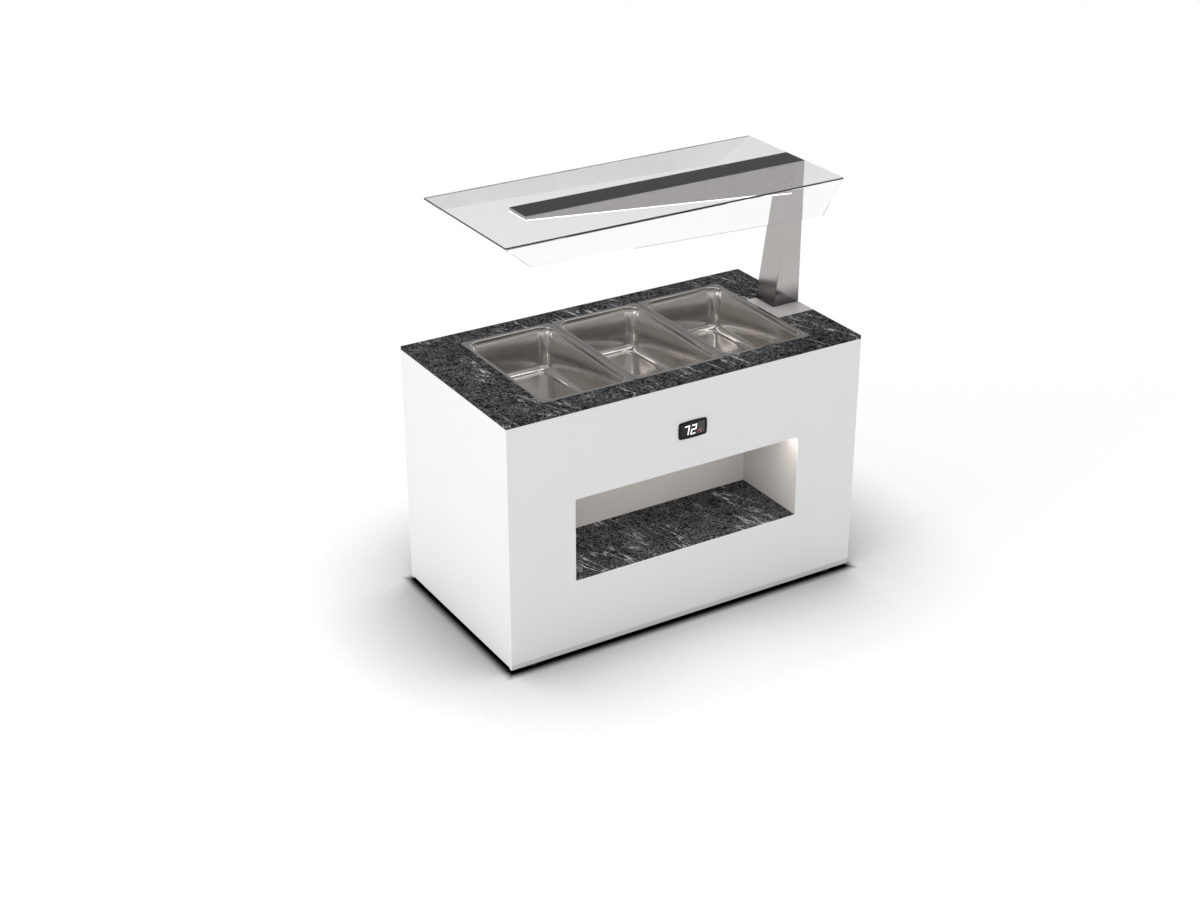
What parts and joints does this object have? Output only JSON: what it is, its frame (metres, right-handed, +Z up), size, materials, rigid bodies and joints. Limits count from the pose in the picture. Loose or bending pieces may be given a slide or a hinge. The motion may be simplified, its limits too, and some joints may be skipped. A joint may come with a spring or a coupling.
{
  "type": "bain marie counter",
  "caption": "Free-standing bain marie counter: heated water well with lift-out food pans in a stone top, an open front niche, and a lit glass canopy on one post.",
  "frame": {"origin": "middle of the counter's footprint, on the floor", "axes": "+X along the counter towards the canopy post, +Y from the guests' front to the service side, +Z up"},
  "size_m": [1.3, 0.7053, 1.342],
  "materials": {
    "white_coat": "matte",
    "dark_stone": "satin",
    "pan_steel": "satin",
    "tank_steel": "satin",
    "canopy_steel": "satin",
    "polished_steel": "polished",
    "canopy_glass": "polished",
    "bond_black": "matte",
    "opal": "satin",
    "niche_coat": "matte",
    "light_aluminium": "satin",
    "frame_black": "matte",
    "zinc_steel": "satin",
    "foot_black": "matte",
    "insulation_mat": "matte",
    "black_plastic": "satin",
    "display_tint": "gloss",
    "control_grey": "satin",
    "valve_brass": "satin",
    "lever_red": "satin",
    "lead_grey": "matte"
  },
  "bodies": {
    "counter": {"front_panel": "white_coat", "left_side_panel": "white_coat", "right_side_panel": "white_coat", "rear_panel": "white_coat", "worktop": "dark_stone", "niche_shelf": "dark_stone", "water_tank": "tank_steel", "pan_support_bars": "tank_steel", "heating_element": "tank_steel", "heater_gland_nuts": "tank_steel", "temperature_probe": "tank_steel", "canopy_post": "canopy_steel", "canopy_arm": "canopy_steel", "post_base_plate": "polished_steel", "canopy_top_glass": "canopy_glass", "canopy_front_glass": "canopy_glass", "canopy_rear_glass": "canopy_glass", "glass_bonding_strip": "bond_black", "arm_light_diffuser": "opal", "niche_light_diffuser": "opal", "niche_side_walls": "niche_coat", "niche_back_wall": "niche_coat", "niche_ceiling": "niche_coat", "niche_light_profile": "light_aluminium", "arm_light_board": "light_aluminium", "led_driver": "light_aluminium", "frame_tubes": "frame_black", "floor_panel": "zinc_steel", "post_backing_plate": "zinc_steel", "post_bolts": "zinc_steel", "hinge_frame_leaves": "zinc_steel", "hinge_pins": "zinc_steel", "tank_insulation": "insulation_mat", "thermostat_bezel": "black_plastic", "thermostat_body": "black_plastic", "switch_plate": "black_plastic", "switch_housings": "black_plastic", "door_magnets": "black_plastic", "cable_gland": "black_plastic", "thermostat_window": "display_tint", "control_box": "control_grey", "control_box_cover": "control_grey", "drain_outlet": "valve_brass", "drain_valve_body": "valve_brass", "wiring_leads": "lead_grey"},
    "left_pan": {"left_pan": "pan_steel"},
    "middle_pan": {"middle_pan": "pan_steel"},
    "right_pan": {"right_pan": "pan_steel"},
    "left_door": {"left_door": "white_coat", "left_door_hinge_leaves": "zinc_steel"},
    "right_door": {"right_door": "white_coat", "right_door_hinge_leaves": "zinc_steel"},
    "drain_lever": {"drain_valve_lever": "lever_red", "drain_valve_ball": "polished_steel"},
    "main_rocker": {"main_switch_rocker": "black_plastic"},
    "light_rocker": {"light_switch_rocker": "black_plastic"},
    "front_left_foot": {"front_left_foot": "foot_black"},
    "front_right_foot": {"front_right_foot": "foot_black"},
    "rear_left_foot": {"rear_left_foot": "foot_black"},
    "rear_right_foot": {"rear_right_foot": "foot_black"}
  },
  "joints": [
    {"name": "left_pan_lift", "type": "slide", "parent": "counter", "child": "left_pan", "axis": [0, 0, 1], "range_m": [0, 0.18]},
    {"name": "middle_pan_lift", "type": "slide", "parent": "counter", "child": "middle_pan", "axis": [0, 0, 1], "range_m": [0, 0.18]},
    {"name": "right_pan_lift", "type": "slide", "parent": "counter", "child": "right_pan", "axis": [0, 0, 1], "range_m": [0, 0.18]},
    {"name": "left_door_hinge", "type": "hinge", "parent": "counter", "child": "left_door", "pos_m": [-0.559, 0.3508, 0.34], "axis": [0, 0, 1], "range_deg": [0, 110]},
    {"name": "right_door_hinge", "type": "hinge", "parent": "counter", "child": "right_door", "pos_m": [0.559, 0.3508, 0.34], "axis": [0, 0, -1], "range_deg": [0, 110]},
    {"name": "drain_lever_turn", "type": "hinge", "parent": "counter", "child": "drain_lever", "pos_m": [-0.42, 0.234, 0.548], "axis": [0, 1, 0], "range_deg": [0, 90]},
    {"name": "main_rocker_tilt", "type": "hinge", "parent": "counter", "child": "main_rocker", "pos_m": [0.45, 0.348, 0.72], "axis": [1, 0, 0], "range_deg": [0, 20]},
    {"name": "light_rocker_tilt", "type": "hinge", "parent": "counter", "child": "light_rocker", "pos_m": [0.49, 0.348, 0.72], "axis": [1, 0, 0], "range_deg": [0, 20]},
    {"name": "front_left_foot_screw", "type": "slide", "parent": "counter", "child": "front_left_foot", "axis": [0, 0, -1], "range_m": [0, 0.012]},
    {"name": "front_right_foot_screw", "type": "slide", "parent": "counter", "child": "front_right_foot", "axis": [0, 0, -1], "range_m": [0, 0.012]},
    {"name": "rear_left_foot_screw", "type": "slide", "parent": "counter", "child": "rear_left_foot", "axis": [0, 0, -1], "range_m": [0, 0.012]},
    {"name": "rear_right_foot_screw", "type": "slide", "parent": "counter", "child": "rear_right_foot", "axis": [0, 0, -1], "range_m": [0, 0.012]}
  ]
}
